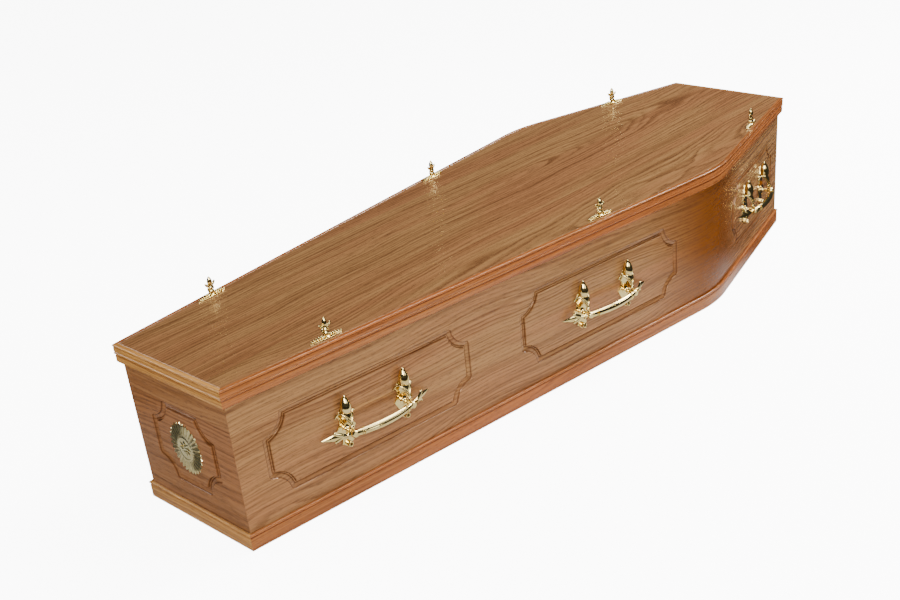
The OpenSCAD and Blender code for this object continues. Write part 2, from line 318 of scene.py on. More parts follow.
def curve(points, n):
    """n + 1 points on a smooth curve through the given ones."""
    p = [Vector(q) for q in points]
    p = [2 * p[0] - p[1]] + p + [2 * p[-1] - p[-2]]
    out = []
    for i in range(n + 1):
        t = i / n * (len(points) - 1)
        k = min(int(t), len(points) - 2)
        t -= k
        a, b, c, d = p[k:k + 4]
        bend = 2 * a - 5 * b + 4 * c - d
        twist = 3 * b - a - 3 * c + d
        out.append(0.5 * ((2 * b) + (c - a) * t + bend * t ** 2 + twist * t ** 3))
    return out


print("shape helpers ready")

# %% [markdown]
# ## Shader helpers
# A material is a small sum: grain lines times a strength, added to a tone, and so on. These helpers place
# one Math node for each step, so that the sum can be written out like arithmetic.


# %% Nodes and sums
def new_node(tree, kind, at=(0, 0), **settings):
    node = tree.nodes.new(kind)
    node.location = at
    for key, value in settings.items():
        setattr(node, key, value)
    return node


class Maths:
    """Short calls that place Math nodes and link them. A value is a number or another node's output."""

    def __init__(self, tree):
        self.tree = tree

    def put(self, socket, value):
        if hasattr(value, "is_output"):
            self.tree.links.new(value, socket)
        else:
            socket.default_value = value

    def __call__(self, operation, *values, clamp=False):
        node = new_node(self.tree, "ShaderNodeMath", operation=operation, use_clamp=clamp)
        for socket, value in zip(node.inputs, values):
            self.put(socket, value)
        return node.outputs[0]

    def step(self, value, low, high):
        """0 below low, 1 above high, and a soft slope between them."""
        node = new_node(self.tree, "ShaderNodeMapRange", interpolation_type="SMOOTHSTEP")
        self.put(node.inputs["Value"], value)
        self.put(node.inputs["From Min"], low)
        self.put(node.inputs["From Max"], high)
        return node.outputs[0]

    def vector(self, x, y, z):
        node = new_node(self.tree, "ShaderNodeCombineXYZ")
        for socket, value in zip(node.inputs, (x, y, z)):
            self.put(socket, value)
        return node.outputs[0]

    def noise(self, vector, scale=1.0, detail=2.0, rough=0.5):
        node = new_node(self.tree, "ShaderNodeTexNoise")
        self.tree.links.new(vector, node.inputs["Vector"])
        node.inputs["Scale"].default_value = scale
        node.inputs["Detail"].default_value = detail
        node.inputs["Roughness"].default_value = rough
        return node.outputs["Fac"]

    def chance(self, value):
        """A number between 0 and 1 that looks random, and is always the same for the same value."""
        node = new_node(self.tree, "ShaderNodeTexWhiteNoise", noise_dimensions="1D")
        self.put(node.inputs["W"], value)
        return node.outputs["Value"]

    def mix(self, part, a, b):
        """Colour a where part is 0, and colour b where it is 1."""
        node = new_node(self.tree, "ShaderNodeMix", data_type="RGBA")
        self.put(node.inputs["Factor"], part)
        for socket, colour in ((node.inputs[6], a), (node.inputs[7], b)):
            self.put(socket, colour if hasattr(colour, "is_output") else (*colour, 1))
        return node.outputs[2]


# %% Groups and materials to fill
def new_group(name, inputs, outputs):
    """A shader node group with named sockets, its input node and its output node."""
    tree = bpy.data.node_groups.new(name, "ShaderNodeTree")
    for label, kind, value in inputs:
        socket = tree.interface.new_socket(label, in_out="INPUT", socket_type="NodeSocket" + kind)
        if value is not None:
            socket.default_value = value
    for label, kind in outputs:
        tree.interface.new_socket(label, in_out="OUTPUT", socket_type="NodeSocket" + kind)
    return tree, new_node(tree, "NodeGroupInput", (-900, 0)), new_node(tree, "NodeGroupOutput", (900, 0))


def new_material(name):
    """An empty material with one shader in it."""
    mat = bpy.data.materials.new(name)
    mat.use_nodes = True
    tree = mat.node_tree
    tree.nodes.clear()
    out = new_node(tree, "ShaderNodeOutputMaterial", (1200, 0))
    bsdf = new_node(tree, "ShaderNodeBsdfPrincipled", (900, 0))
    tree.links.new(bsdf.outputs[0], out.inputs[0])
    return mat, tree, bsdf


def add_bump(tree, bsdf, height, strength, distance):
    bump = new_node(tree, "ShaderNodeBump", (600, -300))
    bump.inputs["Strength"].default_value = strength
    bump.inputs["Distance"].default_value = distance
    tree.links.new(height, bump.inputs["Height"])
    tree.links.new(bump.outputs[0], bsdf.inputs["Normal"])


print("shader helpers ready")

# %% [markdown]
# ## Oak grain
# Flat-sawn oak shows arches where the saw grazed the growth rings. The rings are cylinders round a pith
# that wanders along the board, so each ring is drawn by its distance from that line. A picture of
# veneer would repeat and would not follow the bend, so the log itself is modelled.
# Inside a ring, the spring wood is dark and full of open pores, which show as short dashes.


# %% Oak grain as a shader node group
def oak_group():
    tree, gin, gout = new_group(
        "oak_grain",
        [("Grain", "Vector", None), ("Leaf width", "Float", 0.30), ("Ring spacing", "Float", 0.006),
         ("Depth", "Float", 0.03), ("Slope", "Float", 0.03), ("Wander", "Float", 0.02),
         ("Seed", "Float", 0.0)],
        [("Lines", "Float"), ("Pores", "Float"), ("Tone", "Float"), ("Streaks", "Float")])
    m = Maths(tree)
    apart = new_node(tree, "ShaderNodeSeparateXYZ")
    tree.links.new(gin.outputs["Grain"], apart.inputs[0])
    along, across, depth = apart.outputs
    seed, leaf_width, wander = gin.outputs["Seed"], gin.outputs["Leaf width"], gin.outputs["Wander"]

    # Veneer leaves lie side by side, each cut from another place in the log
    leaf_pos = m("ADD", m("DIVIDE", across, leaf_width), m("MULTIPLY", seed, 0.37))
    leaf = m("FLOOR", leaf_pos)
    from_middle = m("SUBTRACT", m("SUBTRACT", leaf_pos, leaf), 0.5)
    luck = m.chance(m("ADD", m("MULTIPLY", leaf, 3.7), m("MULTIPLY", seed, 5.3)))
    more_luck = m.chance(m("ADD", m("MULTIPLY", leaf, 9.1), m("ADD", 4.4, m("MULTIPLY", seed, 2.9))))
    shift = m("MULTIPLY", luck, 40.0)
    x = m("ADD", along, m("ADD", shift, m("MULTIPLY", seed, 7.0)))
    y = m("MULTIPLY", from_middle, leaf_width)

    def drawn_out(per_m_along, per_m_across, offset, detail, rough=0.5):
        """Noise drawn out along the grain, with so many waves to the metre each way."""
        u, v = m("MULTIPLY", x, per_m_along), m("MULTIPLY", y, per_m_across)
        return m.noise(m.vector(u, v, m("ADD", shift, offset)), detail=detail, rough=rough)

    # The pith wanders slowly sideways and up and down
    sway = m("SUBTRACT", drawn_out(1.6, 1.0, 0.0, 1.5), 0.5)
    heave_at = m.vector(m("MULTIPLY", x, 1.1), m("ADD", shift, 9.0), m("MULTIPLY", y, 2.0))
    heave = m("SUBTRACT", m.noise(heave_at, detail=2.5), 0.5)
    ripple = m("SUBTRACT", drawn_out(5.0, 20.0, 0.0, 3.0), 0.5)
    centre = m("ADD", m("MULTIPLY", sway, m("MULTIPLY", wander, 3.0)),
               m("MULTIPLY", m("SUBTRACT", more_luck, 0.5), 0.10))
    lean = m("MULTIPLY", m("SINE", m("MULTIPLY", x, 1.3)), gin.outputs["Slope"])
    height = m("ADD", gin.outputs["Depth"], m("ADD", m("MULTIPLY", heave, m("MULTIPLY", wander, 8.0)), lean))
    sideways = m("SUBTRACT", y, centre)
    radius = m("SQRT", m("ADD", m("MULTIPLY", sideways, sideways), m("MULTIPLY", height, height)))
    radius = m("ADD", m("ADD", radius, m("MULTIPLY", ripple, 0.016)), depth)

    # Rings are unevenly wide: a slow noise of the ring count moves them
    rings = m("DIVIDE", radius, gin.outputs["Ring spacing"])
    uneven = m.noise(m.vector(m("MULTIPLY", rings, 0.38), 0.0, shift), detail=2.0)
    rings = m("ADD", rings, m("MULTIPLY", uneven, 3.0))
    ring = m("FLOOR", rings)
    part = m("SUBTRACT", rings, ring)
    # Some rings are dark and most are faint. A line starts sharply, fades outwards and is frayed.
    strength = m("ADD", 0.12, m("MULTIPLY", m("POWER", m.chance(m("ADD", ring, shift)), 1.4), 0.88))
    early = m("MULTIPLY", m.step(part, 0.0, 0.20), m("SUBTRACT", 1.0, m.step(part, 0.22, 0.85)))
    fray = m.step(drawn_out(14.0, 420.0, 0.0, 3.0, 0.65), 0.25, 0.62)
    lines = m("MULTIPLY", m("MULTIPLY", early, strength), fray, clamp=True)

    # Pores: short dashes along the grain, thickest in the spring wood
    least = m("SUBTRACT", 0.66, m("MULTIPLY", early, 0.13))
    pores = m.step(drawn_out(70.0, 1700.0, 3.0, 1.0), least, m("ADD", least, 0.07))
    tone = drawn_out(1.6, 9.0, 5.0, 3.0)
    streaks = drawn_out(2.6, 110.0, 7.0, 4.0, 0.72)
    for name, value in (("Lines", lines), ("Pores", pores), ("Tone", tone), ("Streaks", streaks)):
        tree.links.new(value, gout.inputs[name])
    return tree


OAK = oak_group()
print("oak grain:", len(OAK.nodes), "nodes")

# %% [markdown]
# ## Recesses
# Stain and lacquer gather in the grooves of wood, and old polish in the hollows of brass, and both are also
# darkened with painted shade. Both are the same effect, a darker colour where "recess" is high, so it is one
# group with its own colour and amount.


# %% Recess stain and painted shade as a shader node group
def recess_group():
    tree, gin, gout = new_group(
        "recess_stain_and_shade",
        [("Colour", "Color", None), ("Stain and shade", "Color", None), ("Recess", "Float", 0.0),
         ("Amount", "Float", 0.8)],
        [("Colour", "Color")])
    m = Maths(tree)
    part = m("MULTIPLY", gin.outputs["Recess"], gin.outputs["Amount"])
    tree.links.new(m.mix(part, gin.outputs["Colour"], gin.outputs["Stain and shade"]), gout.inputs["Colour"])
    return tree


RECESS = recess_group()


def stain_and_shade_recess(tree, colour, recess, stain_and_shade, amount):
    """Places the recess group in a material and returns the colour darkened by stain and painted shade."""
    node = new_node(tree, "ShaderNodeGroup", (200, 200), node_tree=RECESS)
    tree.links.new(colour, node.inputs["Colour"])
    tree.links.new(recess, node.inputs["Recess"])
    node.inputs["Stain and shade"].default_value = (*stain_and_shade, 1)
    node.inputs["Amount"].default_value = amount
    return node.outputs["Colour"]


print("shader groups:", [g.name for g in bpy.data.node_groups])

# %% [markdown]
# ## Lacquered oak
# A coffin is made of veneered board, stained and sprayed with gloss lacquer. The wood's own gloss is
# tinted warm, because light passes through amber lacquer on its way in and out, and a thin coat adds
# the sharp highlights. The boards take one stain. The mouldings are one oak in two painted copies, a
# darker red one shaded on the sides and a lighter gold one lit on the ends.

# %% Lacquered oak
LACQUER_ROUGH = 0.07
LACQUER_TINT = (1.0, 0.62, 0.36)
# Metres along a side where the painted shade round the shoulder comes in, and where it goes out again
BEND_SHADE_IN, BEND_SHADE_OUT = (1.10, 1.40), (1.64, 1.46)
BEND_SHADE_COLOUR = (0.135, 0.038, 0.004)


def warm_patch(light, warm):
    """The light wood leaning towards a warmer, darker patch."""
    return tuple(0.62 * a + 0.38 * b for a, b in zip(light, warm))


def oak_material(name, light, dark, warm, recess, grain_of, lines=0.9, coat=0.06, gloss=0.42, bend_shade=0.0):
    """light and dark are the wood between the ring lines and on them, and warm is its warmer patches.
    grain_of gives the oak grain group its values."""
    mat, tree, bsdf = new_material(name)
    m = Maths(tree)
    grain = new_node(tree, "ShaderNodeAttribute", (-800, 200), attribute_name="grain").outputs["Vector"]
    hollow = new_node(tree, "ShaderNodeAttribute", (-800, -200), attribute_name="recess").outputs["Fac"]
    oak = new_node(tree, "ShaderNodeGroup", (-500, 100), node_tree=OAK)
    tree.links.new(grain, oak.inputs["Grain"])
    for key, value in grain_of.items():
        oak.inputs[key].default_value = value
    tone, streaks, ring_lines, pores = [oak.outputs[key] for key in ("Tone", "Streaks", "Lines", "Pores")]
    colour = m.mix(m.step(tone, 0.38, 0.62), light, warm_patch(light, warm))
    if bend_shade:
        # Painted shade: the wood is darker round the shoulder
        apart = new_node(tree, "ShaderNodeSeparateXYZ")
        tree.links.new(grain, apart.inputs[0])
        along = apart.outputs[0]
        shoulder_shade = m("MULTIPLY", m.step(along, *BEND_SHADE_IN), m.step(along, *BEND_SHADE_OUT))
        colour = m.mix(m("MULTIPLY", shoulder_shade, bend_shade), colour, BEND_SHADE_COLOUR)
    colour = m.mix(m("MULTIPLY", m.step(streaks, 0.40, 0.72), 0.70), colour, dark)
    colour = m.mix(m("MULTIPLY", ring_lines, lines), colour, dark)
    colour = m.mix(m("MULTIPLY", pores, 0.55), colour, tuple(0.45 * c for c in dark))
    # Darker in the grooves and quirks: stain that gathers there, and painted shade
    tree.links.new(stain_and_shade_recess(tree, colour, hollow, recess, 0.85), bsdf.inputs["Base Color"])
    tree.links.new(m("ADD", LACQUER_ROUGH, m("MULTIPLY", streaks, 0.14)), bsdf.inputs["Roughness"])
    # The lacquer sinks a little into pores and ring lines
    sunk = m("ADD", m("MULTIPLY", pores, 0.8), m("MULTIPLY", ring_lines, 0.35))
    add_bump(tree, bsdf, m("SUBTRACT", 1.0, sunk), 0.25, 0.0006)
    bsdf.inputs["Coat Weight"].default_value = coat
    bsdf.inputs["Coat Roughness"].default_value = 0.06
    bsdf.inputs["Coat IOR"].default_value = 1.5
    bsdf.inputs["Specular IOR Level"].default_value = gloss
    bsdf.inputs["Specular Tint"].default_value = (*LACQUER_TINT, 1)
    return mat


print("lacquer ready")


# %% Oak of the boards
def grain_values(seed, leaf, spacing, depth, slope, wander):
    """How the log was cut: widths of leaves and rings, the pith's depth, lean and wander, all in metres."""
    return {"Seed": seed, "Leaf width": leaf, "Ring spacing": spacing, "Depth": depth, "Slope": slope,
            "Wander": wander}


VENEER_RECESS = (0.070, 0.021, 0.006)
veneer_lid = oak_material(
    "oak_lid", light=(0.242, 0.125, 0.0465), dark=(0.090, 0.034, 0.011), warm=(0.20, 0.060, 0.028),
    recess=VENEER_RECESS, grain_of=grain_values(1.0, 0.31, 0.0085, 0.045, 0.045, 0.022), lines=1.0)
# The sides are darkened round the shoulder with painted shade
veneer_side = oak_material(
    "oak_side", light=(0.270, 0.138, 0.0525), dark=(0.092, 0.032, 0.009), warm=(0.29, 0.105, 0.045),
    recess=VENEER_RECESS, grain_of=grain_values(4.0, 0.36, 0.0085, 0.04, 0.05, 0.025), bend_shade=1.0)
veneer_end = oak_material(
    "oak_end", light=(0.265, 0.122, 0.045), dark=(0.110, 0.040, 0.012), warm=(0.24, 0.085, 0.032),
    recess=VENEER_RECESS, grain_of=grain_values(9.0, 0.40, 0.011, 0.09, 0.03, 0.02), gloss=0.08)

# %% Oak of the mouldings
# Painted light: one moulding oak as a shaded red copy on the sides and a lit gold copy on the ends
moulding_red_shaded_copy = oak_material(
    "oak_red_moulding_shaded_copy", light=(0.300, 0.106, 0.027), dark=(0.110, 0.026, 0.006), warm=(0.38, 0.10, 0.025),
    recess=(0.09, 0.022, 0.006), grain_of=grain_values(2.0, 0.06, 0.006, 0.02, 0.02, 0.012),
    coat=0.25, bend_shade=0.15)
moulding_gold_lit_copy = oak_material(
    "oak_gold_moulding_lit_copy", light=(0.48, 0.240, 0.062), dark=(0.23, 0.088, 0.018), warm=(0.45, 0.19, 0.04),
    recess=(0.16, 0.055, 0.013), grain_of=grain_values(6.0, 0.06, 0.007, 0.03, 0.01, 0.008),
    coat=0.1, gloss=0.25)
print("oak materials:", len([m for m in bpy.data.materials if m.name.startswith("oak")]))

# %% [markdown]
# ## Brass
# Polished and lacquered brass is a clear mirror with a warm tint. Casting leaves slow waves in the
# surface, and polish stays dull in the recesses, which are also darkened with painted shade. The plaques
# are stamped from sheet, and are duller.


# %% Brass
def brass_material(name, colour=(0.84, 0.68, 0.29), rough=0.10, wave=0.15):
    mat, tree, bsdf = new_material(name)
    m = Maths(tree)
    place = new_node(tree, "ShaderNodeTexCoord", (-900, 0)).outputs["Object"]
    hollow = new_node(tree, "ShaderNodeAttribute", (-900, -300), attribute_name="recess").outputs["Fac"]
    # Some of the metal is a little redder, and specks of it are less polished
    cloud = m("MULTIPLY", m.step(m.noise(place, 60.0, 3.0, 0.55), 0.35, 0.75), 0.6)
    speck = m("MULTIPLY", m.step(m.noise(place, 900.0, 2.0, 0.6), 0.5, 0.8), 0.05)
    redder = (colour[0] * 0.80, colour[1] * 0.70, colour[2] * 0.52)
    # Darker in the hollows: dull polish and painted shade
    metal = stain_and_shade_recess(tree, m.mix(cloud, colour, redder), hollow, (0.16, 0.085, 0.022), 0.75)
    tree.links.new(metal, bsdf.inputs["Base Color"])
    bsdf.inputs["Metallic"].default_value = 1.0
    tree.links.new(m("ADD", m("ADD", rough, speck), m("MULTIPLY", hollow, 0.25)), bsdf.inputs["Roughness"])
    add_bump(tree, bsdf, m.noise(place, 110.0, 2.0, 0.5), wave, 0.0015)
    return mat


brass = brass_material("polished_brass")
brass_stamped = brass_material("stamped_brass", (0.90, 0.81, 0.44), 0.24, 0.25)
print("brass:", brass.name, brass_stamped.name)

# %% [markdown]
# ## Boards
# The panels are routed with a moulded cutter: a small step down, a wide shallow slope, and a bead
# between two fine grooves beside the raised field. The corners of each panel are scooped out.
# Cutting the groove with a boolean would leave ragged faces, so the cutter's section is run round the
# panel's outline ring by ring, and the flat wood is filled in around it.

# %% Section of the cutter
# (distance in from the outer lip, depth, how much stain and painted shade darken it), in millimetres
CUTTER = [
    (0.0, 0.0, 0.0), (0.35, 0.25, 0.2), (0.9, 1.5, 0.9), (1.6, 2.1, 1.0), (2.6, 2.35, 0.4), (4.5, 2.7, 0.05),
    (7.0, 3.3, 0.0), (9.2, 4.1, 0.05), (10.3, 4.9, 0.5), (10.9, 5.5, 1.0), (11.3, 5.2, 1.0), (11.7, 4.3, 0.5),
    (12.4, 3.7, 0.0), (13.1, 3.55, 0.0), (13.8, 3.8, 0.1), (14.3, 4.5, 0.8), (14.6, 4.7, 1.0),
    (14.9, 4.2, 1.0), (15.3, 1.6, 0.5), (15.6, 0.6, 0.1), (16.0, 0.0, 0.0)]
SCOOP_STEPS = 12
LIP_STEPS = 4


def scoop(inset):
    """A scooped corner at the origin, from the upright edge to the level edge. The cutter is round, so
    the lips outside its path have rounded points, and the lips inside it have sharp ones."""
    path = max(inset, CUTTER_R)
    r = SCOOP_R + path
    spare = math.degrees(math.asin(path / r))
    reach = math.sqrt(r * r - path * path)
    lip = path - inset
    return (arc(path, reach, lip, 180, 270 - spare, LIP_STEPS)
            + arc(0, 0, r - lip, 90 - spare, spare, SCOOP_STEPS)
            + arc(reach, path, lip, 180 + spare, 270, LIP_STEPS))


def panel_ring(w, inset):
    """The outline of a panel with scooped corners, inset from its lip, as (along, up) points."""
    ring = []
    for turn, (cx, cz) in enumerate(((0, PANEL_Z), (w, PANEL_Z), (w, PANEL_TOP), (0, PANEL_TOP))):
        for x, z in scoop(inset):
            corner = complex(x, z) * 1j ** turn
            ring.append((cx + corner.real, cz + corner.imag))
    return ring


print("cutter: %.1f mm wide, %.1f mm deep" % (CUTTER[-1][0], max(depth for inset, depth, stain_and_shade in CUTTER)))


# %% A board's face with its panels
def on_wall(matrix, x, z, depth=0.0):
    return matrix @ Vector((x, -depth, z))


def fill(shape, loops, matrix):
    """Fills a flat face with holes."""
    back = matrix.inverted()
    flat = [[Vector(((back @ shape.points[i]).x, (back @ shape.points[i]).z, 0)) for i in loop]
            for loop in loops]
    numbers = [i for loop in loops for i in loop]
    for tri in tessellate_polygon(flat):
        shape.faces.append(tuple(numbers[i] for i in tri))


def routed_face(shape, matrix, outline, panels, grain_start=0.0):
    """A flat face with routed panels. outline is (along, up) points, and panels is [(start, length)]."""
    holes = []
    for start, length in panels:
        rows = []
        for inset, depth, stain_and_shade in CUTTER:
            ring = panel_ring(length, inset / 1000)
            rows.append([shape.add(on_wall(matrix, start + x, z, depth / 1000),
                                   (grain_start + start + x, z, 0.0), stain_and_shade) for x, z in ring])
        for a, b in zip(rows, rows[1:]):
            shape.strip(a, b, closed=True)
        fill(shape, [rows[-1]], matrix)
        holes.append(rows[0])
    border = [shape.add(on_wall(matrix, x, z), (grain_start + x, z, 0.0)) for x, z in outline]
    fill(shape, [border] + holes, matrix)


# %% Side boards
def side_board():
    shape = Shape()
    flat_end = FLANK_LEN - BEND_CUT
    h = WALL_H
    routed_face(shape, FLANK, [(0, 0), (flat_end, 0), (flat_end, h), (0, h)], FLANK_PANELS)
    routed_face(shape, HEAD_SIDE, [(BEND_CUT, 0), (HEAD_LEN, 0), (HEAD_LEN, h), (BEND_CUT, h)], [HEAD_PANEL],
                grain_start=flat_end + BEND_LEN - BEND_CUT)
    outer, inner = rail(0), rail(-WALL_T)
    low_out = [shape.add((*p, 0), (s, 0, 0)) for p, s in outer]
    top_out = [shape.add((*p, h), (s, h, 0)) for p, s in outer]
    low_in = [shape.add((*p, 0), (s, 0, WALL_T)) for p, s in inner]
    top_in = [shape.add((*p, h), (s, h, WALL_T)) for p, s in inner]
    # The outside of the bend, then the top edge, the inside and the bottom edge
    shape.strip(low_out[1:-1], top_out[1:-1])
    shape.strip(top_out, top_in)
    shape.strip(top_in, low_in)
    shape.strip(low_in, low_out)
    for i in (0, -1):
        shape.faces.append((low_out[i], low_in[i], top_in[i], top_out[i]))
    return shape


side_shape = side_board()
for side in SIDES:
    piece("panelled_side_" + side, side_shape, veneer_side, "oak_board", "side_board_" + side,
          matrix=ON_SIDE[side])
print("side boards:", len(side_shape.faces), "faces each")


# %% End boards
def end_board(matrix, corner, grain_start):
    """corner(o) is the body's corner at this end. The ends are mitred into the sides."""
    shape = Shape()
    w, v = -corner(0).y, -corner(-WALL_T).y
    h = WALL_H
    panel = (-END_PANEL_W / 2, END_PANEL_W)
    routed_face(shape, matrix, [(-w, 0), (w, 0), (w, h), (-w, h)], [panel], grain_start)
    posts = [[shape.add(on_wall(matrix, x, z, d), (grain_start + x, z, d)) for z in (0, h)]
             for x, d in ((-w, 0), (w, 0), (v, WALL_T), (-v, WALL_T))]
    for a, b in zip(posts[1:], posts[2:] + posts[:1]):
        shape.faces.append((a[0], b[0], b[1], a[1]))
    for k in (0, 1):
        shape.faces.append(tuple(post[k] for post in posts))
    return shape


END_WALLS = {"foot": (FOOT_END, foot_corner), "head": (HEAD_END, head_corner)}
# Each end is cut from another stretch of the veneer
END_GRAIN = {"foot": 5.0, "head": 8.0}
for end in ENDS:
    matrix, corner = END_WALLS[end]
    piece("panelled_end_" + end, end_board(matrix, corner, END_GRAIN[end]), veneer_end, "oak_board",
          "end_board_" + end)
print("end boards made")

# %% [markdown]
# ## Lid board
# The lid is one flat board with the body's outline, and its edge is hidden by the lid moulding. Its top
# edge is eased with sandpaper, which shows as a fine bright line.

# %% Lid board
EASED = 0.0007


def lid_board():
    shape = Shape()
    # The board stops a film of glue short of the moulding
    o = LID_SIDE_GAP - GLUE_GAP
    rows = []
    for off, z in ((o, WALL_H), (o, TOP_Z - EASED), (o - EASED, TOP_Z)):
        edge = [p for p, s in rail(off)]
        loop = edge + [Vector((p.x, -p.y)) for p in reversed(edge)]
        rows.append([shape.add((p.x, p.y, z), (p.x, p.y, 0)) for p in loop])
    for a, b in zip(rows, rows[1:]):
        shape.strip(a, b, closed=True)
    shape.faces += [tuple(rows[0]), tuple(rows[-1])]
    return shape


piece("lid_veneer", lid_board(), veneer_lid, "oak_board", "lid_board")
print("lid board made")

# %% [markdown]
# ## Mouldings
# One planed section runs round the lid and another round the foot of the body. The lengths are
# mitred where the ends meet the sides, and bent round the shoulders. Each is its section run along the
# body's outline, so a mitre needs no cutting.

# %% Sections of the mouldings
# Stain gathers in the joint along the top of the back
BACK_TOP = [(0, -0.6, 1.0), (0.6, 0, 0.2)]


def without_stain_or_shade(points):
    return [(x, z, 0.0) for x, z in points]


def in_place(section, gap, top):
    """Puts a section of (out, up, stain and painted shade) points in millimetres in its place."""
    return [(x * MM + gap, z * MM + top, stain_and_shade) for x, z, stain_and_shade in section]


def lid_section():
    """A nose, a quirk, a flat, a bead between two quirks, and a set-back lower flat."""
    t, h = LID_MOULD_T * 1000, LID_MOULD_H * 1000
    # The third values darken the quirks and the groove with stain and painted shade
    quirk = [(t - 1.5, -5.4, 0.9), (t - 1.7, -6.0, 1.0), (t - 1.2, -6.7, 0.5), (t - 0.9, -7.4, 0.0)]
    flat = [(t - 0.9, -15.8, 0.0), (t - 1.1, -16.5, 0.4), (t - 1.7, -17.1, 1.0)]
    groove = [(t - 2.6, -22.4, 1.0), (t - 2.8, -23.4, 1.0), (t - 2.3, -24.4, 0.8), (t - 1.8, -25.4, 0.1)]
    low_flat = [(t - 1.7, -26.6, 0.0), (t - 1.7, -37.6, 0.0), (t - 2.0, -38.9, 0.1), (t - 3, -h, 0.3)]
    nose = without_stain_or_shade(arc(t - 3, -3, 3, 90, -20, 9))
    bead = without_stain_or_shade(arc(t - 2.6, -19.7, 2.5, 55, -52, 8))
    section = nose + quirk + flat + bead + groove + low_flat
    return in_place(BACK_TOP + section + [(0, -h, 0.0)], LID_SIDE_GAP, TOP_Z)


def plinth_section():
    """A bead and a quirk over a flat face."""
    t, h = PLINTH_T * 1000, PLINTH_H * 1000
    # The third values darken the quirk with stain and painted shade
    quirk = [(t - 1.9, -6.0, 0.8), (t - 2.4, -7.0, 1.0), (t - 2.1, -7.9, 0.6), (t - 1.6, -8.9, 0.1)]
    flat = [(t - 1.4, -10.2, 0.0), (t - 1.4, -36.2, 0.0), (t - 1.7, -37.3, 0.1), (t - 2.4, -h, 0.3)]
    bead = without_stain_or_shade(arc(t - 3, -3, 3, 90, -35, 9))
    return in_place(BACK_TOP + bead + quirk + flat + [(0, -h, 0.0)], GLUE_GAP, PLINTH_H)


print("sections: lid %d points, plinth %d points" % (len(lid_section()), len(plinth_section())))


# %% Lengths of moulding
def run_moulding(lines, section, seed):
    """lines(o) gives the mitred edge at offset o as (point, length) pairs."""
    shape = Shape()
    girth = [0.0]
    for a, b in zip(section, section[1:]):
        girth.append(girth[-1] + math.dist(a[:2], b[:2]))
    rows = []
    for (x, z, stain_and_shade), u in zip(section, girth):
        rows.append([shape.add((p.x, p.y, z), (s + seed, u, 0), stain_and_shade) for p, s in lines(x)])
    # The last row lies on the first one and closes the section
    rows.append([shape.add(shape.points[i], shape.grain[i], 0.5) for i in rows[0]])
    for a, b in zip(rows, rows[1:]):
        shape.strip(a, b)
    for k in (0, -1):
        shape.faces.append(tuple(row[k] for row in rows[:-1]))
    return shape


def end_lines(corner):
    """The mitred edge across an end, from the -Y corner to the +Y one."""
    def lines(o):
        p = corner(o)
        return [(Vector((p.x, p.y)), 0.0), (Vector((p.x, -p.y)), -2 * p.y)]
    return lines


# Each length is cut from another stretch of oak
SIDE_SEED = {"left": 0.0, "right": 3.3}
END_SEED = {"foot": 1.7, "head": 5.2}
for kind, section, seed in (("lid", lid_section(), 0.0), ("plinth", plinth_section(), 11.0)):
    for side in SIDES:
        shape = run_moulding(rail, section, seed + SIDE_SEED[side])
        piece(f"{kind}_trim_{side}", shape, moulding_red_shaded_copy, "oak_side_moulding", f"{kind}_moulding_{side}",
              matrix=ON_SIDE[side], smooth=28)
    for end in ENDS:
        shape = run_moulding(end_lines(END_WALLS[end][1]), section, seed + END_SEED[end])
        piece(f"{kind}_trim_{end}", shape, moulding_gold_lit_copy, "oak_end_moulding", f"{kind}_moulding_{end}",
              smooth=28)
print("mouldings made")

# %% [markdown]
# ## Bails
# Each handle is a bowed bail between two brackets. The bar is reeded in the middle and ends in a knuckle
# with a polished flat face, and a spear with two hooks points outwards from it. A real one is cast in
# one piece. Here its parts are swept and turned, run into each other, and stay one mesh.

# %% Petals and balls
AROUND_PETAL = 12


def petal(points, width, thick, n=14, ridge=1.0):
    """A tapered petal with a ridge, on a smooth curve. width and thick are lists of half sizes along it.
    All are in millimetres."""
    path = curve(points_mm(points), n)
    width, thick = in_mm(*width), in_mm(*thick)
    sharp = 1.0 + 0.5 * ridge

    def size(values, i):
        t = i / n * (len(values) - 1)
        k = min(int(t), len(values) - 2)
        return values[k] + (values[k + 1] - values[k]) * (t - k)

    def section(i):
        a, b = size(width, i), size(thick, i)
        if a <= WELD:
            return [(0, 0)]
        ring = []
        for j in range(AROUND_PETAL):
            t = 2 * math.pi * j / AROUND_PETAL
            c, s = math.cos(t), math.sin(t)
            ring.append((a * math.copysign(abs(c) ** sharp, c), b * math.copysign(abs(s) ** sharp, s)))
        return ring

    return sweep(path, section, Vector((0, 1, 0)))


def ball(r, rows=10):
    angles = [math.pi * (i / rows - 0.5) for i in range(1, rows)]
    return lathe([(0, -r)] + [(r * math.cos(t), r * math.sin(t)) for t in angles] + [(0, r)], 20)


# %% Bar of the bail
BOW_R = ((SPACING / 2) ** 2 + BOW_OUT ** 2) / (2 * BOW_OUT)
BOW_CENTRE = KNUCKLE_OUT + BOW_OUT - BOW_R
# A degree short of the knuckles' middles, so that the bar ends inside them
BAR_A = math.asin(SPACING / 2 / BOW_R) - math.radians(1)
BAR_STEPS, AROUND_BAR, REEDS, REED_DEPTH = 40, 48, 8, 0.13


def on_bow(a):
    """The point of the bow at an angle from its middle."""
    return Vector((BOW_R * math.sin(a), BOW_CENTRE + BOW_R * math.cos(a), 0))


